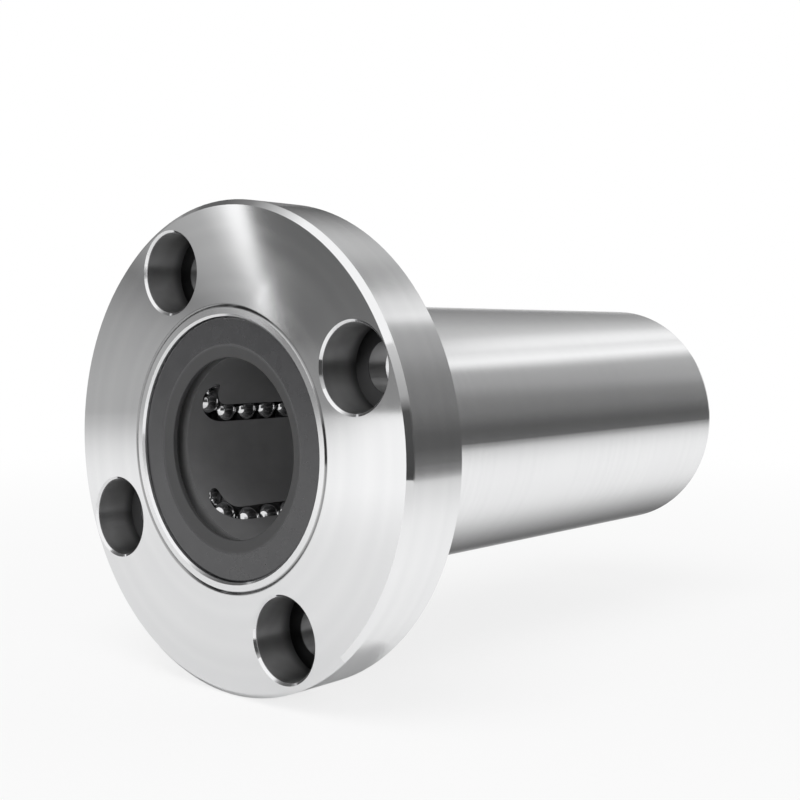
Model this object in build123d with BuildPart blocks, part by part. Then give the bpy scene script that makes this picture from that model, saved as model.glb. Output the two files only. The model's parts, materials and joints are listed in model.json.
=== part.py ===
from build123d import *
from math import asin, cos, degrees, floor, radians, sin, sqrt
import os

# Flanged linear ball bushing, long type, for a 20 mm shaft. Millimetres.
# The shaft axis is Y. The origin is on that axis, at the flange's back face, which seats
# on the housing. The flange and the mouth face -Y, the long sleeve reaches to +Y.

# Boundary sizes
shaft_diameter = 20.0
sleeve_diameter = 32.0
overall_length = 80.0
flange_diameter = 54.0
flange_thickness = 8.0
flange_seat_step = 0.35
flange_back_relief = 0.1

# Screw holes, for M5 socket head cap screws. They lie midway between the sleeve and the
# flange's rim, and the land is the metal left on either side of a head bore.
screw_count = 4
screw_hole_diameter = 5.5
head_bore_land = 1.0
head_bore_depth = 5.1
first_hole_angle = 25.4

# Edges
flange_front_chamfer = 0.6
flange_back_chamfer = 0.4
flange_bore_chamfer = 0.15
head_bore_chamfer = 0.3
screw_hole_chamfer = 0.25
sleeve_front_chamfer = 0.2
sleeve_mouth_chamfer = 0.25
sleeve_rear_radius = 1.0

# Balls and their circuits. Stock balls rise by a 64th of an inch: these are the largest that
# keep to their share of the room between the shaft and the sleeve's outside. The two legs of a
# circuit stand apart by the spacing ratio times a ball.
ball_size_step = 0.396875
ball_share = 0.53
ball_gap = 0.025
turn_ball_gap = 0.03
row_spacing_ratio = 1.764
row_travel = 2.75
circuit_count = 5
first_loaded_angle = 18.0

# Cages
cage_shaft_gap = 0.4
cage_track_floor = 0.45
cage_end_wall = 0.73
cage_gap = 0.1
cage_edge_chamfer = 0.3

# End seals and retaining rings, the same at both ends
seal_face_recess = 0.5
seal_rubber_back = 2.0
seal_plate_thickness = 0.3
seal_seat_step = 0.35
seal_rim_rounding = 0.3
seal_flare_width = 1.4
seal_flare_depth = 0.35
seal_flare_rounding = 1.2
seal_lip_land = 0.5
seal_lip_rounding = 0.15
seal_lip_relief = 0.6
seal_plate_width = 3.3
ring_thickness = 0.8
ring_bite = 0.5
ring_width = 2.6
ring_mouth_angle = 24.0
ring_mouth_direction = -90.0

# Clearances
press_line = 0.005
ball_race_clearance = 0.01
ball_shaft_clearance = 0.005
track_clearance = 0.06
cage_clearance = 0.14
relief_clearance = 0.06
seal_seat_clearance = 0.01
ring_clearance = 0.05

# Worked out from the sizes above
sleeve_radius = sleeve_diameter / 2
flange_seat_radius = sleeve_radius - flange_seat_step
flange_back_bore_chamfer = flange_seat_step - press_line + flange_back_relief
flange_radius = flange_diameter / 2
screw_circle_radius = (flange_radius + sleeve_radius) / 2
screw_hole_radius = screw_hole_diameter / 2
head_bore_radius = (flange_radius - sleeve_radius) / 2 - head_bore_land
shaft_radius = shaft_diameter / 2
ball_room = sleeve_radius - shaft_radius
ball_diameter = ball_size_step * floor(ball_share * ball_room / ball_size_step)
ball_radius = ball_diameter / 2
ball_pitch = ball_diameter + ball_gap
row_spacing = row_spacing_ratio * ball_diameter
loaded_radius = shaft_radius + ball_shaft_clearance + ball_radius
race_radius = loaded_radius + ball_radius + ball_race_clearance
track_radius = ball_radius + track_clearance
relief_groove_radius = ball_radius + relief_clearance
cage_bore_radius = shaft_radius + cage_shaft_gap
cage_outer_radius = race_radius - cage_clearance
return_radius = cage_bore_radius + cage_track_floor + track_radius
turn_relief_radius = return_radius + relief_groove_radius
seal_seat_radius = turn_relief_radius + seal_seat_step
seal_outer_radius = seal_seat_radius - seal_seat_clearance
ring_outer_radius = seal_seat_radius + ring_bite
ring_groove_radius = ring_outer_radius + ring_clearance
ring_start = seal_rubber_back + seal_plate_thickness + ring_clearance
cage_start = ring_start + ring_thickness + ring_clearance
cage_length = (overall_length - cage_gap) / 2 - cage_start
sleeve_rear = overall_length - flange_thickness

# One circuit is a racetrack in a plane that leans, so that its return leg lies further out.
# half_spacing is the sideways half distance between the legs, rise their difference in height.
half_spacing = row_spacing / 2
loaded_height = sqrt(loaded_radius**2 - half_spacing**2)
return_height = sqrt(return_radius**2 - half_spacing**2)
rise = return_height - loaded_height
turn_radius = sqrt(row_spacing**2 + rise**2) / 2
lean = degrees(asin(rise / (2 * turn_radius)))
circuit_step = 360 / circuit_count
first_circuit_angle = first_loaded_angle - degrees(asin(half_spacing / loaded_radius))
turn_centre_inset = cage_end_wall + ball_radius + turn_radius
leg_length = cage_length - 2 * turn_centre_inset

# Two balls share each turn, side by side about its middle, and the next ball of each leg
# touches them from the straight.
turn_ball_spacing = ball_diameter + turn_ball_gap
turn_ball_angle = degrees(asin(turn_ball_spacing / 2 / turn_radius))
turn_ball_side = turn_radius * sin(radians(turn_ball_angle))
turn_ball_reach = turn_radius * cos(radians(turn_ball_angle))
first_ball_inset = sqrt(turn_ball_spacing**2 - (turn_radius - turn_ball_side) ** 2) - turn_ball_reach
row_room = leg_length - 2 * first_ball_inset - row_travel
balls_per_row = floor(row_room / ball_pitch) + 1

# Distance along the bushing from its front face, and which way each end unit faces
front_face = -flange_thickness
front_cage_front = front_face + cage_start
rear_cage_front = front_cage_front + cage_length + cage_gap

os.makedirs("parts", exist_ok=True)


def finish_piece(piece, label):
    """Label a finished piece and write it to its own file."""
    piece.label = label
    export_step(piece, f"parts/{label}.step")


def end_outline(points, mirrored):
    """Profile points (radius, depth from the end face) as (x, y) at the front or rear end."""
    if mirrored:
        return [(radius, sleeve_rear - depth) for radius, depth in points]
    return [(radius, front_face + depth) for radius, depth in points]


def ring_edges(piece, radius, y, tolerance=0.001):
    """Full circles of one radius at one distance along the shaft axis."""
    rings = piece.edges().filter_by(GeomType.CIRCLE).filter_by_position(Axis.Y, y, y)
    return rings.filter_by(lambda edge: abs(edge.radius - radius) < tolerance)


def circuit_plane(index, cage_front):
    """Plane of one ball circuit, centred between its turns, x across the legs, y along them."""
    angle = radians(first_circuit_angle + index * circuit_step)
    outward = Vector(cos(angle), 0, sin(angle))
    sideways = Vector(-sin(angle), 0, cos(angle))
    height = (loaded_height + return_height) / 2
    centre = outward * height + Vector(0, cage_front + cage_length / 2, 0)
    across = sideways * cos(radians(lean)) - outward * sin(radians(lean))
    upward = outward * cos(radians(lean)) + sideways * sin(radians(lean))
    return Plane(origin=centre, x_dir=across, z_dir=upward)


# Flange: a turned disc, ground on both faces, pressed on the sleeve's stepped front end. The
# chamfer at the back of its bore opens wider than the sleeve's outside, so that the housing
# meets the back face alone.
with BuildPart() as flange:
    with BuildSketch(Plane.XZ):
        Circle(flange_radius)
        Circle(flange_seat_radius + press_line, mode=Mode.SUBTRACT)
    extrude(amount=flange_thickness)
    with Locations(Plane.XZ.offset(flange_thickness)):
        with PolarLocations(screw_circle_radius, screw_count, first_hole_angle):
            CounterBoreHole(screw_hole_radius, head_bore_radius, head_bore_depth)
    for radius, y, size in (
        (flange_radius, front_face, flange_front_chamfer),
        (flange_radius, 0, flange_back_chamfer),
        (head_bore_radius, front_face, head_bore_chamfer),
        (screw_hole_radius, 0, screw_hole_chamfer),
        (flange_seat_radius + press_line, front_face, flange_bore_chamfer),
        (flange_seat_radius + press_line, 0, flange_back_bore_chamfer),
    ):
        chamfer(ring_edges(flange, radius, y), size)
finish_piece(flange.part, "flange")


# Outer sleeve: hardened bearing steel, one tube with the ball races inside. Each race is the
# plain bore between two turn reliefs, and a round groove beside it carries the return row. The
# ground outside starts at the flange's back face.
turn_reliefs = []
for cage_front in (front_cage_front, rear_cage_front):
    turn_reliefs.append(cage_front + turn_centre_inset)
    turn_reliefs.append(cage_front + cage_length - turn_centre_inset)
race_ramp = turn_relief_radius - race_radius
seat_depth = ring_start - ring_clearance
groove_end = cage_start

with BuildPart() as outer_sleeve:
    with BuildSketch(Plane.XZ.offset(flange_thickness)):
        Circle(flange_seat_radius)
    extrude(amount=-flange_thickness)
    with BuildSketch(Plane.XZ):
        Circle(sleeve_radius)
    extrude(amount=-sleeve_rear)
    with BuildSketch(Plane.XZ.offset(flange_thickness)):
        Circle(race_radius)
    extrude(amount=-overall_length, mode=Mode.SUBTRACT)

    chamfer(ring_edges(outer_sleeve, flange_seat_radius, front_face), sleeve_front_chamfer)
    fillet(ring_edges(outer_sleeve, sleeve_radius, sleeve_rear), sleeve_rear_radius)

    # Seal seat, retaining ring groove and turn relief, cut from each end
    for mirrored, ramp_start in ((False, turn_reliefs[0]), (True, turn_reliefs[3])):
        ramp_depth = sleeve_rear - ramp_start if mirrored else ramp_start - front_face
        recess = [
            (0, 0),
            (seal_seat_radius + sleeve_mouth_chamfer, 0),
            (seal_seat_radius, sleeve_mouth_chamfer),
            (seal_seat_radius, seat_depth),
            (ring_groove_radius, seat_depth),
            (ring_groove_radius, groove_end),
            (turn_relief_radius, groove_end),
            (turn_relief_radius, ramp_depth - race_ramp),
            (race_radius, ramp_depth),
            (0, ramp_depth),
        ]
        with BuildSketch(Plane.XY):
            with BuildLine():
                Polyline(end_outline(recess, mirrored), close=True)
            make_face()
        revolve(axis=Axis.Y, mode=Mode.SUBTRACT)

    # Turn relief in the middle, shared by the two cages
    with BuildSketch(Plane.XY):
        with BuildLine():
            Polyline(
                (0, turn_reliefs[1]),
                (race_radius, turn_reliefs[1]),
                (turn_relief_radius, turn_reliefs[1] + race_ramp),
                (turn_relief_radius, turn_reliefs[2] - race_ramp),
                (race_radius, turn_reliefs[2]),
                (0, turn_reliefs[2]),
                close=True,
            )
        make_face()
    revolve(axis=Axis.Y, mode=Mode.SUBTRACT)

    # Grooves for the return rows, from the first turn relief to the last
    return_offset = degrees(asin(half_spacing / return_radius))
    with BuildSketch(Plane.XZ.offset(-turn_reliefs[0] + race_ramp)):
        with PolarLocations(return_radius, circuit_count, first_circuit_angle - return_offset):
            Circle(relief_groove_radius)
    extrude(amount=-(turn_reliefs[3] - turn_reliefs[0] + 2 * race_ramp), mode=Mode.SUBTRACT)
finish_piece(outer_sleeve.part, "outer_sleeve")


def make_cage(cage_front):
    """Moulded cage: a thin tube with five racetrack channels, swept round for the balls.

    Each channel is open to the sleeve. Its loaded leg breaks through the cage's bore in a slot
    narrower than a ball, and its return leg keeps a floor.
    """
    with BuildPart() as cage:
        with BuildSketch(Plane.XZ.offset(-cage_front)):
            Circle(cage_outer_radius)
            Circle(cage_bore_radius, mode=Mode.SUBTRACT)
        extrude(amount=-cage_length)
        for y in (cage_front, cage_front + cage_length):
            chamfer(ring_edges(cage, cage_outer_radius, y), cage_edge_chamfer)

        for index in range(circuit_count):
            plane = circuit_plane(index, cage_front)
            half_leg = leg_length / 2
            with BuildLine(plane) as centreline:
                Line((-turn_radius, -half_leg), (-turn_radius, half_leg))
                ThreePointArc((-turn_radius, half_leg), (0, half_leg + turn_radius), (turn_radius, half_leg))
                Line((turn_radius, half_leg), (turn_radius, -half_leg))
                ThreePointArc((turn_radius, -half_leg), (0, -half_leg - turn_radius), (-turn_radius, -half_leg))
            start = Plane(origin=centreline.line @ 0, z_dir=centreline.line % 0)
            with BuildSketch(start):
                Circle(track_radius)
            sweep(path=centreline.line, mode=Mode.SUBTRACT)
            with BuildSketch(plane):
                SlotCenterToCenter(leg_length, 2 * (turn_radius + track_radius), rotation=90)
                SlotCenterToCenter(leg_length, 2 * (turn_radius - track_radius), rotation=90, mode=Mode.SUBTRACT)
            extrude(amount=ball_diameter, mode=Mode.SUBTRACT)
    return cage.part


finish_piece(make_cage(front_cage_front), "front_cage")
finish_piece(make_cage(rear_cage_front), "rear_cage")


def ball_row(plane, side, first_y, step):
    """One straight row of a circuit: side is 1 for the loaded leg and -1 for the return leg."""
    with BuildPart() as row:
        places = [(side * turn_radius, first_y + number * step) for number in range(balls_per_row)]
        with Locations(plane):
            with Locations(*places):
                Sphere(ball_radius)
    return row.part


# Loaded rows start against the front turn, return rows against the rear turn, so that the free
# room of one row lies at its far end and the two can roll past each other.
for cage_name, cage_front in (("front", front_cage_front), ("rear", rear_cage_front)):
    near_end = leg_length / 2 - first_ball_inset
    for index in range(circuit_count):
        plane = circuit_plane(index, cage_front)
        along = 1 if plane.y_dir.Y > 0 else -1
        loaded = ball_row(plane, 1, -along * near_end, along * ball_pitch)
        returning = ball_row(plane, -1, along * near_end, -along * ball_pitch)
        finish_piece(loaded, f"{cage_name}_loaded_balls_{index + 1}")
        finish_piece(returning, f"{cage_name}_return_balls_{index + 1}")

    # The balls that stand in the turns, two at each end of each circuit
    with BuildPart() as turn_balls:
        turn_y = leg_length / 2 + turn_ball_reach
        places = [(x, y) for x in (-turn_ball_side, turn_ball_side) for y in (-turn_y, turn_y)]
        for index in range(circuit_count):
            with Locations(circuit_plane(index, cage_front)):
                with Locations(*places):
                    Sphere(ball_radius)
    finish_piece(turn_balls.part, f"{cage_name}_turn_balls")


# End seals: a black nitrile ring bonded to a steel backing plate. Its flat face has a rounded rim
# and dips to a thin lip, whose sharp back edge wipes the shaft.
seal_plate_bore_radius = seal_outer_radius - seal_plate_width
lip_front = seal_face_recess + seal_flare_depth
lip_back = lip_front + seal_lip_land
mouth_reach = 2 * ring_outer_radius
for end_name, mirrored in (("front", False), ("rear", True)):
    rubber = [
        (seal_outer_radius, seal_rubber_back),
        (seal_outer_radius, seal_face_recess),
        (shaft_radius + seal_flare_width, seal_face_recess),
        (shaft_radius, lip_front),
        (shaft_radius, lip_back),
        (shaft_radius + seal_lip_relief, seal_rubber_back),
    ]
    roundings = (0, seal_rim_rounding, seal_flare_rounding, seal_lip_rounding, 0, 0)
    with BuildPart() as seal:
        with BuildSketch(Plane.XY):
            with BuildLine():
                FilletPolyline(end_outline(rubber, mirrored), radius=roundings, close=True)
            make_face()
        revolve(axis=Axis.Y)
    finish_piece(seal.part, f"{end_name}_seal")

    plate_back = seal_rubber_back + seal_plate_thickness
    plate = [
        (seal_plate_bore_radius, seal_rubber_back),
        (seal_outer_radius, seal_rubber_back),
        (seal_outer_radius, plate_back),
        (seal_plate_bore_radius, plate_back),
    ]
    with BuildPart() as seal_plate:
        with BuildSketch(Plane.XY):
            with BuildLine():
                Polyline(end_outline(plate, mirrored), close=True)
            make_face()
        revolve(axis=Axis.Y)
    finish_piece(seal_plate.part, f"{end_name}_seal_plate")

    # Retaining ring: an open spring steel ring that holds the cage in
    ring_front = ring_start if not mirrored else overall_length - ring_start - ring_thickness
    with BuildPart() as retaining_ring:
        with BuildSketch(Plane.XZ.offset(flange_thickness - ring_front)):
            Circle(ring_outer_radius)
            Circle(ring_outer_radius - ring_width, mode=Mode.SUBTRACT)
            with BuildLine():
                first_side = PolarLine((0, 0), mouth_reach, ring_mouth_direction - ring_mouth_angle / 2)
                last_side = PolarLine((0, 0), mouth_reach, ring_mouth_direction + ring_mouth_angle / 2)
                Line(first_side @ 1, last_side @ 1)
            make_face(mode=Mode.SUBTRACT)
        extrude(amount=-ring_thickness)
    finish_piece(retaining_ring.part, f"{end_name}_retaining_ring")
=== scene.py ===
"""Flanged linear ball bushing, long type: flange, sleeve, cages, balls, retaining rings and seals."""

import json
import math

import bpy
import numpy as np
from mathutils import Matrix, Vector


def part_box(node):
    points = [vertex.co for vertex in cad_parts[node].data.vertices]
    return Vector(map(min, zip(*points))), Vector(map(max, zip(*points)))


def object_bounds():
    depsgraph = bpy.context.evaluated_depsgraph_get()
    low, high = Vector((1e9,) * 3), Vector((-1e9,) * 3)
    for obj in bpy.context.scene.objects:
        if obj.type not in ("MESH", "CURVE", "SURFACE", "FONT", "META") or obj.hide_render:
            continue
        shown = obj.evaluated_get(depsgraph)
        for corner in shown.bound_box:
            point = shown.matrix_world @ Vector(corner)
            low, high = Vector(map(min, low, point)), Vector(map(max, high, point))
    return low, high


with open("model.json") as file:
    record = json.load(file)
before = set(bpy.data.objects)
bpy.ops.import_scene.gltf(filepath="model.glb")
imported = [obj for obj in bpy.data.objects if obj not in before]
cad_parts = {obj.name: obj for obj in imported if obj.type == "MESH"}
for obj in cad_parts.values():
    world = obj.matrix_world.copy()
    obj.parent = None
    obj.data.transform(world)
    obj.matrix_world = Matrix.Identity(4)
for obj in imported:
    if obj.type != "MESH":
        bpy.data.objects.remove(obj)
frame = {"nodes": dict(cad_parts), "record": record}
cad_low, cad_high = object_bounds()
nodes = frame["nodes"]
scene = bpy.context.scene


# Flange. A turned disc of bearing steel, faced on a lathe, so that fine rings run round the shaft
# axis on its face and its rim. Four counterbored holes take the socket head screws. It is pressed
# on the sleeve's stepped front end.
flange_low, flange_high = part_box("flange")
flange_front = flange_low.y
flange_radius = flange_high.x
rim_start = flange_radius - 0.0001
mounts = {mount["name"]: mount for mount in frame["record"]["mounts"]}
screws = mounts["flange_screws"]["dims"]
hole_circle = screws["pcd_mm"] / 2000
hole_count = screws["count"]
hole_radius = screws["hole_r_mm"] / 1000
first_hole_angle = math.radians(25.4)
head_bore_radius = 0.0045
head_bore_depth = 0.0051
# Grey of the painted shade at the bottom of the head bores
seat_shade_grey = (0.1, 0.1, 0.102, 1.0)
joint_radius = 0.01565
joint_line_width = 0.0003
# Grey of the painted shade at the joint between flange and sleeve
joint_shade_grey = (0.1, 0.1, 0.1, 1.0)
bright_steel = [(0.3, (0.86, 0.863, 0.87)), (0.7, (0.91, 0.912, 0.917))]
# Dark greys of the steel inside the screw holes and head bores: painted shade inside the holes
hole_shade_greys = [(0.3, (0.27, 0.27, 0.273)), (0.7, (0.33, 0.33, 0.333))]
turned_roughness = 0.05
drilled_roughness = 0.36
rim_roughness = 0.09


def group(name, inputs, outputs):
    """An empty shader node group with named number sockets, and its input and output nodes."""
    tree = bpy.data.node_groups.new(name, "ShaderNodeTree")
    for socket_name, value in inputs.items():
        socket = tree.interface.new_socket(socket_name, in_out="INPUT", socket_type="NodeSocketFloat")
        socket.default_value = value
    for socket_name in outputs:
        tree.interface.new_socket(socket_name, in_out="OUTPUT", socket_type="NodeSocketFloat")
    return tree, tree.nodes.new("NodeGroupInput"), tree.nodes.new("NodeGroupOutput")


def feed(tree, value, socket):
    """Link an output socket to an input socket, or set the input to a plain value."""
    if isinstance(value, bpy.types.NodeSocket):
        tree.links.new(value, socket)
    else:
        socket.default_value = value


def maths(tree, operation, *values, clamp=False):
    """Output of one Math node."""
    node = tree.nodes.new("ShaderNodeMath")
    node.operation = operation
    node.use_clamp = clamp
    for socket, value in zip(node.inputs, values):
        feed(tree, value, socket)
    return node.outputs["Value"]


def noise(tree, vector, scale, detail=2.0, roughness=0.5):
    """Height of a Noise texture at a point."""
    node = tree.nodes.new("ShaderNodeTexNoise")
    feed(tree, vector, node.inputs["Vector"])
    feed(tree, scale, node.inputs["Scale"])
    node.inputs["Detail"].default_value = detail
    node.inputs["Roughness"].default_value = roughness
    return node.outputs["Fac"]


def span(tree, value, low, high, start=0.0, end=1.0):
    """value from low to high, mapped to start to end and held there."""
    node = tree.nodes.new("ShaderNodeMapRange")
    node.interpolation_type = "SMOOTHSTEP"
    limits = {"From Min": low, "From Max": high, "To Min": start, "To Max": end}
    for socket_name, number in limits.items():
        node.inputs[socket_name].default_value = number
    feed(tree, value, node.inputs["Value"])
    return node.outputs["Result"]


def place(tree):
    """The point in the part's own frame."""
    return tree.nodes.new("ShaderNodeTexCoord").outputs["Object"]


def coordinates(tree):
    """X, Y and Z of the point in the part's own frame."""
    split = tree.nodes.new("ShaderNodeSeparateXYZ")
    tree.links.new(place(tree), split.inputs["Vector"])
    return split.outputs["X"], split.outputs["Y"], split.outputs["Z"]


def distance(tree, first, second):
    """Square root of first * first + second * second."""
    squares = maths(tree, "MULTIPLY_ADD", first, first, maths(tree, "MULTIPLY", second, second))
    return maths(tree, "SQRT", squares)


def from_axis(tree):
    """Distance from the shaft axis, and distance along it."""
    x, y, z = coordinates(tree)
    return distance(tree, x, z), y


def turning_group():
    """Rings round the shaft axis: a noise that reads only the distance from the axis and along it.

    Height is the fine tool mark, Shade a broader change from ring to ring.
    """
    tree, given, result = group("turning_marks", {"Pitch": 0.0002}, ["Height", "Shade"])
    radius, along = from_axis(tree)
    across = tree.nodes.new("ShaderNodeCombineXYZ")
    pitch = given.outputs["Pitch"]
    tree.links.new(maths(tree, "DIVIDE", radius, pitch), across.inputs["X"])
    tree.links.new(maths(tree, "DIVIDE", along, pitch), across.inputs["Y"])
    fine = noise(tree, across.outputs["Vector"], 1.0, 3.0, 0.6)
    broad = noise(tree, across.outputs["Vector"], 0.12, 1.0)
    tree.links.new(fine, result.inputs["Height"])
    tree.links.new(broad, result.inputs["Shade"])
    return tree


def mottle_group():
    """Cloudy change of tone over a surface, as oil, handling and heat leave it."""
    tree, given, result = group("mottle", {"Scale": 120.0}, ["Tone"])
    clouds = noise(tree, place(tree), given.outputs["Scale"], 4.0, 0.55)
    tree.links.new(clouds, result.inputs["Tone"])
    return tree


def hole_group():
    """Inside is 1 in the screw holes and head bores. Seat is painted shade: 1 on the floor under a
    screw's head.

    The angle is folded on the first hole, and the distance from its axis is compared with the head
    bore's radius as deep as that goes, and with the screw hole's radius behind it.
    """
    tree, _, result = group("screw_hole", {}, ["Inside", "Seat"])
    x, y, z = coordinates(tree)
    radius = distance(tree, x, z)
    turn = math.tau / hole_count
    angle = maths(tree, "SUBTRACT", maths(tree, "ARCTAN2", z, x), first_hole_angle - turn / 2)
    folded = maths(tree, "SUBTRACT", maths(tree, "FLOORED_MODULO", angle, turn), turn / 2)
    along_spoke = maths(tree, "MULTIPLY", radius, maths(tree, "COSINE", folded))
    outward = maths(tree, "SUBTRACT", along_spoke, hole_circle)
    sideways = maths(tree, "MULTIPLY", radius, maths(tree, "SINE", folded))
    seat = flange_front + head_bore_depth
    just_behind_seat = seat + 0.0001
    behind = maths(tree, "GREATER_THAN", y, just_behind_seat)
    wall = maths(tree, "MULTIPLY_ADD", behind, hole_radius - head_bore_radius, head_bore_radius)
    in_steel = maths(tree, "SUBTRACT", distance(tree, outward, sideways), wall)
    tree.links.new(span(tree, in_steel, 0.00002, 0.00007, 1.0, 0.0), result.inputs["Inside"])
    # Painted shade: it grows over the deepest part of the head bore's wall and is full on its floor
    near_seat = span(tree, y, seat - 0.3 * head_bore_depth, seat)
    before = maths(tree, "SUBTRACT", 1.0, behind)
    tree.links.new(maths(tree, "MULTIPLY", near_seat, before), result.inputs["Seat"])
    return tree


def joint_group():
    """Dark line of painted shade where the flange meets the sleeve, on their front faces."""
    tree, _, result = group("joint_shade_line", {}, ["Amount"])
    radius, along = from_axis(tree)
    from_joint = maths(tree, "ABSOLUTE", maths(tree, "SUBTRACT", radius, joint_radius))
    line = span(tree, from_joint, 0.00008, joint_line_width, 0.7, 0.0)
    front = span(tree, along, flange_front + 0.0004, flange_front + 0.0008, 1.0, 0.0)
    tree.links.new(maths(tree, "MULTIPLY", line, front), result.inputs["Amount"])
    return tree


def placed(tree, tool, **values):
    """A node that uses one of the groups, with its own values."""
    node = tree.nodes.new("ShaderNodeGroup")
    node.node_tree = tool
    for socket_name, value in values.items():
        feed(tree, value, node.inputs[socket_name])
    return node.outputs


def ramp(tree, value, stops):
    """Grey or colour by value, from stops of (position, colour)."""
    node = tree.nodes.new("ShaderNodeValToRGB")
    feed(tree, value, node.inputs["Fac"])
    elements = node.color_ramp.elements
    while len(elements) < len(stops):
        elements.new(0.5)
    for element, (position, colour) in zip(elements, stops):
        element.position = position
        element.color = (*colour, 1.0)
    return node.outputs["Color"]


def mixed(tree, share, first, second):
    """Colour that goes from the first to the second as share goes from 0 to 1.

    A Mix node's inputs 0, 6 and 7 are its factor and its two colours, and output 2 is its colour.
    """
    node = tree.nodes.new("ShaderNodeMix")
    node.data_type = "RGBA"
    for number, value in ((0, share), (6, first), (7, second)):
        feed(tree, value, node.inputs[number])
    return node.outputs[2]


turning_marks = turning_group()
mottle = mottle_group()
screw_hole = hole_group()
joint_shade_line = joint_group()


def material(name, **settings):
    """A new material: its node tree and its Principled shader, with constant settings on its sockets."""
    made = bpy.data.materials.new(name)
    made.use_nodes = True
    shader = made.node_tree.nodes["Principled BSDF"]
    for socket_name, value in settings.items():
        shader.inputs[socket_name.replace("_", " ")].default_value = value
    return made, made.node_tree, shader


def bump(tree, shader, height, depth, strength):
    """Relief of a given depth in metres on the shader's Normal."""
    node = tree.nodes.new("ShaderNodeBump")
    node.inputs["Strength"].default_value = strength
    node.inputs["Distance"].default_value = depth
    tree.links.new(height, node.inputs["Height"])
    tree.links.new(node.outputs["Normal"], shader.inputs["Normal"])


def along_rings(tree, shader):
    """Highlights stretch across the rings round the shaft axis, as on turned and ground steel."""
    node = tree.nodes.new("ShaderNodeTangent")
    node.direction_type = "RADIAL"
    node.axis = "Y"
    tree.links.new(node.outputs["Tangent"], shader.inputs["Tangent"])
    shader.inputs["Anisotropic Rotation"].default_value = 0.25


def weighed(tree, first, first_share, second, second_share):
    """Sum of two values, each times its share."""
    part = maths(tree, "MULTIPLY", second, second_share)
    return maths(tree, "ADD", maths(tree, "MULTIPLY", first, first_share), part)


def dress(name, made):
    """Give a CAD node its finish."""
    slots = nodes[name].data.materials
    slots.clear()
    slots.append(made)


flange_steel, tree, shader = material("flange_steel", Metallic=1.0, Anisotropic=1.0)
along_rings(tree, shader)
marks = placed(tree, turning_marks, Pitch=0.00022)
cloud = placed(tree, mottle, Scale=90.0)["Tone"]
shade = weighed(tree, marks["Shade"], 0.75, cloud, 0.25)
bright = ramp(tree, shade, bright_steel)
# The holes take the darker greys, a painted shade inside them
hole_shade_tone = ramp(tree, shade, hole_shade_greys)
hole = placed(tree, screw_hole)
# Amount of the painted shade at the joint with the sleeve
oil = placed(tree, joint_shade_line)["Amount"]
# Still darker at the bottom of the head bores, a painted shade there
shaded_hole_steel = mixed(tree, hole["Seat"], hole_shade_tone, seat_shade_grey)
steel = mixed(tree, hole["Inside"], bright, shaded_hole_steel)
# A thin ring of painted shade at the joint with the sleeve
tree.links.new(mixed(tree, oil, steel, joint_shade_grey), shader.inputs["Base Color"])
turned = maths(tree, "MULTIPLY_ADD", shade, 0.03, turned_roughness)
finish = maths(tree, "MULTIPLY_ADD", hole["Inside"], drilled_roughness, turned)
# The rim is turned with a coarser feed than the face, and is a little rougher
radius = from_axis(tree)[0]
rim = span(tree, radius, rim_start - 0.00004, rim_start + 0.00004, 0.0, rim_roughness)
tree.links.new(maths(tree, "ADD", finish, rim), shader.inputs["Roughness"])
bump(tree, shader, marks["Height"], 0.000002, 0.3)
dress("flange", flange_steel)


# Outer sleeve. A tube of hardened bearing steel, ground on the outside between centres, with the
# ball races ground inside. The grinding leaves rings too fine to see, that draw the highlights
# out along the tube.
ground_roughness = 0.16
front_roughness = 0.09

sleeve_steel, tree, shader = material("sleeve_steel", Metallic=1.0, Anisotropic=0.8)
along_rings(tree, shader)
marks = placed(tree, turning_marks, Pitch=0.00012)
cloud = placed(tree, mottle, Scale=60.0)["Tone"]
shade = weighed(tree, marks["Shade"], 0.4, cloud, 0.6)
ground = ramp(tree, shade, bright_steel)
# Amount of the painted shade at the joint with the flange
oil = placed(tree, joint_shade_line)["Amount"]
# A thin ring of painted shade at the joint with the flange
tree.links.new(mixed(tree, oil, ground, joint_shade_grey), shader.inputs["Base Color"])
# Its front face, the ring round the mouth, is a little smoother than its outside
depth = maths(tree, "SUBTRACT", from_axis(tree)[1], flange_front)
finish = span(tree, depth, 0.0002, 0.0006, front_roughness, ground_roughness)
tree.links.new(maths(tree, "MULTIPLY_ADD", shade, 0.05, finish), shader.inputs["Roughness"])
bump(tree, shader, marks["Height"], 0.0000006, 0.5)
dress("outer_sleeve", sleeve_steel)


# Cages. Moulded in black polyamide, with a fine matt skin. They are pushed in from the ends and
# carry the ball circuits.
cage_black = [(0.3, (0.13, 0.13, 0.132)), (0.7, (0.15, 0.15, 0.152))]


def clouded(tree, shader, scale, tones, roughness, spread):
    """Colour between two tones, and roughness up to a spread above its least, both by one mottle."""
    cloud = placed(tree, mottle, Scale=scale)["Tone"]
    tree.links.new(ramp(tree, cloud, tones), shader.inputs["Base Color"])
    tree.links.new(maths(tree, "MULTIPLY_ADD", cloud, spread, roughness), shader.inputs["Roughness"])


cage_resin, tree, shader = material("cage_resin", Specular_IOR_Level=0.4)
clouded(tree, shader, 400.0, cage_black, 0.45, 0.15)
skin = noise(tree, place(tree), 6000.0)
bump(tree, shader, skin, 0.00001, 0.3)
for end in ("front", "rear"):
    dress(f"{end}_cage", cage_resin)


# Balls. Lapped chrome steel, mirror bright, with a thin film of grease. They lie loose in each
# cage's circuits: a loaded row, a return row, and two balls in each turn.
circuits = 5
chrome = [(0.3, (0.72, 0.722, 0.728)), (0.7, (0.78, 0.782, 0.788))]

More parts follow.
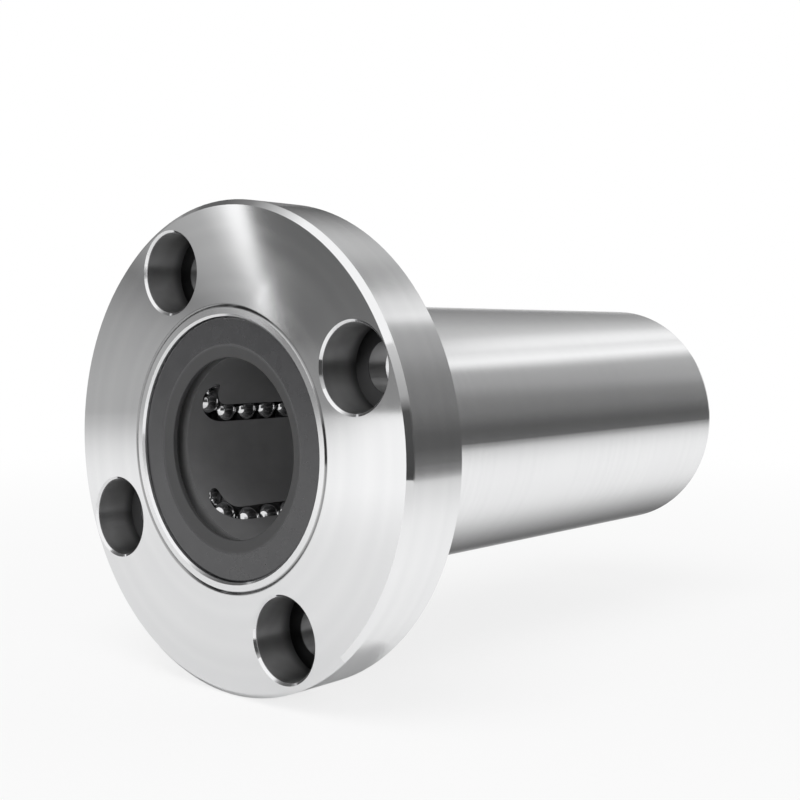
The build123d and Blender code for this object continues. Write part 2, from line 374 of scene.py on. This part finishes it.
ball_steel, tree, shader = material("ball_steel", Metallic=1.0)
clouded(tree, shader, 700.0, chrome, 0.05, 0.05)
for end in ("front", "rear"):
    dress(f"{end}_turn_balls", ball_steel)
    for number in range(1, circuits + 1):
        dress(f"{end}_loaded_balls_{number}", ball_steel)
        dress(f"{end}_return_balls_{number}", ball_steel)


# Retaining rings. Open rings of blackened spring steel. They are sprung into grooves in the
# sleeve's ends, in front of the cages, and hold them in.
blackened = [(0.3, (0.07, 0.07, 0.075)), (0.7, (0.12, 0.12, 0.125))]

spring_steel, tree, shader = material("spring_steel", Metallic=1.0)
clouded(tree, shader, 350.0, blackened, 0.35, 0.1)
for end in ("front", "rear"):
    dress(f"{end}_retaining_ring", spring_steel)


# End seals. Black nitrile rubber with a lip on the shaft, moulded to a thin steel plate behind it.
# They are pressed into the seats at the sleeve's ends.
lip_radius = 0.0111
lip_black = (0.034, 0.034, 0.035, 1.0)
rubber_black = [(0.3, (0.028, 0.028, 0.03)), (0.7, (0.036, 0.036, 0.038))]
plate_grey = [(0.3, (0.5, 0.5, 0.51)), (0.7, (0.58, 0.58, 0.585))]

seal_rubber, tree, shader = material("seal_rubber", Specular_IOR_Level=0.9)
cloud = placed(tree, mottle, Scale=500.0)["Tone"]
rubber = ramp(tree, cloud, rubber_black)
lip = span(tree, from_axis(tree)[0], lip_radius, lip_radius + 0.0004, 1.0, 0.0)
tree.links.new(mixed(tree, lip, rubber, lip_black), shader.inputs["Base Color"])
moulded = maths(tree, "MULTIPLY_ADD", cloud, 0.08, 0.2)
tree.links.new(maths(tree, "MULTIPLY_ADD", lip, 0.45, moulded), shader.inputs["Roughness"])
skin = noise(tree, place(tree), 2500.0)
bump(tree, shader, skin, 0.000008, 0.2)

plate_steel, tree, shader = material("plate_steel", Metallic=1.0)
clouded(tree, shader, 300.0, plate_grey, 0.35, 0.1)
for end in ("front", "rear"):
    dress(f"{end}_seal", seal_rubber)
    dress(f"{end}_seal_plate", plate_steel)


# Camera. It stands low in front of the flange, to the right of the shaft axis, and looks along the
# line that the photo's outlines fit best.
camera_place = Vector((0.10342, -0.0949, 0.01249))
camera_back = Vector((0.6662, -0.7439, 0.0529))
focal_length = 55.62

camera = bpy.data.objects.new("camera", bpy.data.cameras.new("camera"))
camera.data.sensor_width = 36.0
camera.data.lens = focal_length
camera.data.clip_start = 0.005
camera.data.clip_end = 20.0
camera.location = camera_place
camera.rotation_mode = "QUATERNION"
camera.rotation_quaternion = (-camera_back).to_track_quat("-Z", "Y")
scene.collection.objects.link(camera)
scene.camera = camera


# Studio. A white floor under the flange's rim, a white surround, a soft lamp above and one near the
# camera, and grey boards that light nothing and only show in the steel.
floor_height = cad_low.z
floor_half_width = 4.0
floor_white = (0.78, 0.78, 0.78, 1.0)
surround_light = 0.6
card_height = floor_height + 0.0005
side_board_place = 0.12
side_board_top = 0.187
ceiling_height = 0.3
ceiling_lean = 0.38
ceiling_middle = 0.41
ceiling_join = 0.33
rim_ceiling_start = 0.12
wall_radius = 0.5
wedge_heading = 224.15
wedge_foot = 0.005
low_card_radius = 0.16


def board(name, points, made):
    """A stage piece through a grid of points, with one face between each four neighbours."""
    index = np.arange(points.size // 3).reshape(points.shape[:2])
    corners = [index[:-1, :-1], index[1:, :-1], index[1:, 1:], index[:-1, 1:]]
    faces = np.stack(corners, axis=-1).reshape(-1, 4)
    mesh = bpy.data.meshes.new(name)
    mesh.from_pydata(points.reshape(-1, 3).tolist(), [], faces.tolist())
    mesh.materials.append(made)
    piece = bpy.data.objects.new(name, mesh)
    scene.collection.objects.link(piece)
    return piece


def flat_grid(corner, side, rise):
    """Four corners of a flat board: corner + u * side + v * rise, for u and v of 0 and 1."""
    u, v = np.meshgrid([0.0, 1.0], [0.0, 1.0], indexing="ij")
    return np.array(corner) + u[..., None] * np.array(side) + v[..., None] * np.array(rise)


def curved_grid(radius, headings, heights):
    """Wall round the vertical axis: radius * (cos heading, sin heading), between two heights."""
    angles, rises = np.meshgrid(np.radians(np.linspace(*headings, 64)), heights, indexing="ij")
    return np.stack([radius * np.cos(angles), radius * np.sin(angles), rises], axis=-1)


def seen_by(tree, *kinds):
    """1 for the given kinds of ray, such as Camera, and 0 for the others."""
    rays = tree.nodes.new("ShaderNodeLightPath").outputs
    total = 0.0
    for kind in kinds:
        total = maths(tree, "ADD", total, rays[f"Is {kind} Ray"], clamp=True)
    return total


def heading(tree):
    """Compass angle of a place round the vertical axis, in degrees from +X towards +Y, 0 to 360."""
    x, y, _ = coordinates(tree)
    angle = maths(tree, "DEGREES", maths(tree, "ARCTAN2", y, x))
    return maths(tree, "FLOORED_MODULO", angle, 360.0)


# The floor is white paint near the object, where it takes the shadow, and plain white farther out.
# In the steel it greys towards the wall on the left.
floor_paint = bpy.data.materials.new("floor_paint")
floor_paint.use_nodes = True
tree = floor_paint.node_tree
tree.nodes.clear()
x, y, _ = coordinates(tree)
away = distance(tree, x, y)
by_camera = seen_by(tree, "Camera")
by_steel = seen_by(tree, "Glossy", "Transmission")
plain_for_camera = maths(tree, "MULTIPLY", by_camera, span(tree, away, 0.03, 0.3, 0.78, 1.0))
plain_for_steel = maths(tree, "MULTIPLY", by_steel, span(tree, away, 0.08, 0.2))
far_tone = span(tree, away, 0.2, 0.5, 0.9, 0.48)
right_share = span(tree, heading(tree), 226.0, 231.0)
short_of_white = maths(tree, "SUBTRACT", 1.0, far_tone)
steel_tone = maths(tree, "MULTIPLY_ADD", short_of_white, right_share, far_tone)
glow_tone = maths(tree, "MAXIMUM", by_camera, steel_tone)
paint = tree.nodes.new("ShaderNodeBsdfDiffuse")
paint.inputs["Color"].default_value = floor_white
glow = tree.nodes.new("ShaderNodeEmission")
tree.links.new(glow_tone, glow.inputs["Strength"])
blend = tree.nodes.new("ShaderNodeMixShader")
plain_share = maths(tree, "ADD", plain_for_camera, plain_for_steel, clamp=True)
tree.links.new(plain_share, blend.inputs["Fac"])
tree.links.new(paint.outputs["BSDF"], blend.inputs[1])
tree.links.new(glow.outputs["Emission"], blend.inputs[2])
surface = tree.nodes.new("ShaderNodeOutputMaterial").inputs["Surface"]
tree.links.new(blend.outputs["Shader"], surface)
floor_width = 2 * floor_half_width
floor_corner = (-floor_half_width, -floor_half_width, floor_height)
board("floor", flat_grid(floor_corner, (floor_width, 0, 0), (0, floor_width, 0)), floor_paint)

# The surround is pure white to the eye and in the steel, and lights the piece a little less
world = bpy.data.worlds.new("studio")
world.use_nodes = True
scene.world = world
tree = world.node_tree
background = tree.nodes["Background"]
background.inputs["Color"].default_value = (1.0, 1.0, 1.0, 1.0)
directly = seen_by(tree, "Camera", "Glossy", "Transmission")
strength = maths(tree, "MULTIPLY_ADD", directly, 1.0 - surround_light, surround_light)
tree.links.new(strength, background.inputs["Strength"])


def board_paint(name, measure, stops):
    """Grey light that changes with a measure of the place, from stops of (measure, grey)."""
    low = stops[0][0]
    width = stops[-1][0] - low
    made = bpy.data.materials.new(name)
    made.use_nodes = True
    tree = made.node_tree
    tree.nodes.clear()
    share = maths(tree, "DIVIDE", maths(tree, "SUBTRACT", measure(tree), low), width, clamp=True)
    greys = [((at - low) / width, (tone, tone, tone)) for at, tone in stops]
    glow = tree.nodes.new("ShaderNodeEmission")
    tree.links.new(ramp(tree, share, greys), glow.inputs["Color"])
    surface = tree.nodes.new("ShaderNodeOutputMaterial").inputs["Surface"]
    tree.links.new(glow.outputs["Emission"], surface)
    return made


def reflector(name, points, measure, stops):
    """A grey board that lights nothing and that only glossy rays see."""
    piece = board(name, points, board_paint(name, measure, stops))
    piece.visible_camera = False
    piece.visible_diffuse = False
    piece.visible_shadow = False
    piece.visible_transmission = False


def along_x(tree):
    """Place along X."""
    return coordinates(tree)[0]


def upwards(tree):
    """Height of a place."""
    return coordinates(tree)[2]


def across_ceiling(tree):
    """Place along X, moved by the ceiling's lean for its place along Y."""
    x, y, _ = coordinates(tree)
    return maths(tree, "MULTIPLY_ADD", maths(tree, "SUBTRACT", y, ceiling_middle), ceiling_lean, x)


def wedge_lean(tree):
    """Lean to the left, in degrees from upright, of the line from the wedge's foot to a place."""
    turn = maths(tree, "RADIANS", maths(tree, "SUBTRACT", wedge_heading, heading(tree)))
    sideways = maths(tree, "MULTIPLY", turn, wall_radius)
    rise = maths(tree, "SUBTRACT", upwards(tree), wedge_foot)
    return maths(tree, "DEGREES", maths(tree, "ARCTAN2", sideways, rise))


# Side board, beside the tube: dark at its foot, mid grey at its top edge
side_board_height = side_board_top - floor_height
reflector(
    "side_board",
    flat_grid((side_board_place, -0.05, floor_height), (0, 0.6, 0), (0, 0, side_board_height)),
    upwards,
    [(-0.027, 0.1), (-0.014, 0.19), (-0.002, 0.1), (0.011, 0.1), (0.037, 0.18), (0.07, 0.22),
     (0.11, 0.36), (0.187, 0.42)],
)
# Ceiling over the tube: bright strips towards +X that lean back to -X, falling to grey at -X
reflector(
    "ceiling",
    flat_grid((-0.8, ceiling_join, ceiling_height), (0.996, 0, 0), (0, 1.0, 0)),
    across_ceiling,
    [(-0.6, 0.3), (-0.325, 0.26), (-0.224, 0.32), (-0.15, 0.4), (-0.085, 0.57), (-0.053, 0.67),
     (-0.022, 0.9), (0.009, 1.02), (0.041, 1.0), (0.06, 0.85), (0.08, 0.92), (0.111, 1.01),
     (0.127, 1.1), (0.161, 0.85), (0.194, 0.6), (0.23, 0.45)],
)
# Nearer part of the ceiling, that only the flange's rim shows
rim_ceiling_length = ceiling_join - rim_ceiling_start
reflector(
    "rim_ceiling",
    flat_grid((-0.8, rim_ceiling_start, ceiling_height), (0.996, 0, 0), (0, rim_ceiling_length, 0)),
    along_x,
    [(-0.8, 0.18), (-0.505, 0.24), (-0.311, 0.28), (-0.194, 0.42), (-0.109, 0.58), (-0.05, 0.55),
     (0.0, 0.38), (0.031, 0.28), (0.08, 0.22), (0.115, 0.68), (0.196, 0.68)],
)
# Dark board just under the ceiling, that only the top of the rim shows
reflector(
    "rim_top_board",
    flat_grid((-0.8, 0.678, ceiling_height - 0.002), (0.6, -0.558, 0), (0, 0.255, 0)),
    along_x,
    [(-0.8, 0.08), (-0.5, 0.08), (-0.313, 0.2), (-0.2, 0.3)],
)
# Board over the left of the flange, that its outer chamfer shows
reflector(
    "chamfer_ceiling",
    flat_grid((-0.8, -0.2, ceiling_height), (0.74, 0, 0), (0, 0.32, 0)),
    along_x,
    [(-0.8, 0.12), (-0.32, 0.13), (-0.22, 0.23), (-0.14, 0.56), (-0.07, 1.0)],
)
# Dark strip on the floor under the tube, a painted shadow of the tube that only the steel shows
reflector(
    "tube_shadow_strip",
    flat_grid((-0.017, 0.005, card_height), (0.034, 0, 0), (0, 0.115, 0)),
    along_x,
    [(-0.017, 0.6), (-0.012, 0.32), (-0.006, 0.1), (-0.001, 0.18), (0.005, 0.33), (0.011, 0.58),
     (0.017, 0.85)],
)
# Light card on the floor beside the tube, that the undersides of the tube and the rim show
reflector(
    "beside_tube",
    flat_grid((0.0172, -0.14, card_height), (0.1228, 0, 0), (0, 0.44, 0)),
    along_x,
    [(0.0172, 0.83), (0.022, 0.9), (0.036, 0.94), (0.055, 0.92), (0.083, 0.78), (0.1, 0.74),
     (0.14, 0.74)],
)
# Wall in front, to the left of what the flange's face shows. A bright wedge leans up to the left
# from a foot near the horizon: dark to the right of it, grey to the left
reflector(
    "front_wall",
    curved_grid(wall_radius, (195.0, 250.0), (floor_height, 0.4)),
    wedge_lean,
    [(-180.0, 0.3), (-100.0, 0.25), (-80.0, 0.16), (5.0, 0.12), (13.5, 0.14), (14.5, 1.2),
     (21.0, 1.1), (24.0, 0.75), (31.0, 0.45), (45.0, 0.38), (54.0, 0.3), (63.0, 0.2), (80.0, 0.35),
     (100.0, 0.43), (180.0, 0.43)],
)
# The wedge's foot is narrow, so it is brighter there
reflector(
    "wedge_foot_board",
    curved_grid(wall_radius - 0.002, (221.8, 226.0), (floor_height, 0.036)),
    wedge_lean,
    [(-180.0, 0.3), (-100.0, 0.25), (-80.0, 0.16), (5.0, 0.12), (14.5, 0.14), (15.5, 2.3),
     (22.0, 1.8), (25.0, 0.8), (31.0, 0.45), (45.0, 0.4), (80.0, 0.38), (100.0, 0.43),
     (180.0, 0.43)],
)
# Grey wall far to the left, that the chamfer and the top of the rim show
reflector(
    "left_wall",
    curved_grid(wall_radius, (134.5, 194.0), (0.0, 0.24)),
    heading,
    [(134.5, 0.25), (140.0, 0.2), (155.0, 0.19), (160.0, 0.34), (172.0, 0.3), (194.0, 0.2)],
)
# Card on the camera's side, dark at its foot, that the outer chamfer shows at the right
reflector(
    "low_card",
    curved_grid(low_card_radius, (300.5, 336.0), (floor_height, 0.11)),
    upwards,
    [(floor_height, 0.06), (0.035, 0.08), (0.05, 0.4), (0.11, 0.65)],
)


def soft_box(name, spot, target, width, height, power):
    """An area lamp at spot, turned to target, that doesn't show in the steel."""
    lamp = bpy.data.lights.new(name, "AREA")
    lamp.shape = "RECTANGLE"
    lamp.size = width
    lamp.size_y = height
    lamp.energy = power
    holder = bpy.data.objects.new(name, lamp)
    holder.location = spot
    holder.rotation_mode = "QUATERNION"
    holder.rotation_quaternion = (Vector(target) - Vector(spot)).to_track_quat("-Z", "Y")
    holder.visible_glossy = False
    scene.collection.objects.link(holder)


# Main lamp above, in front of the flange
soft_box("top_lamp", (0.12, -0.3, 0.62), (0.0, 0.0, 0.0), 0.5, 0.4, 2.3)
# Fill lamp near the camera's line, so that light falls evenly into the bore
soft_box("fill_lamp", (0.26, -0.45, 0.08), (0.0, 0.0, 0.0), 0.2, 0.15, 1.0)
scene.view_settings.view_transform = "Standard"
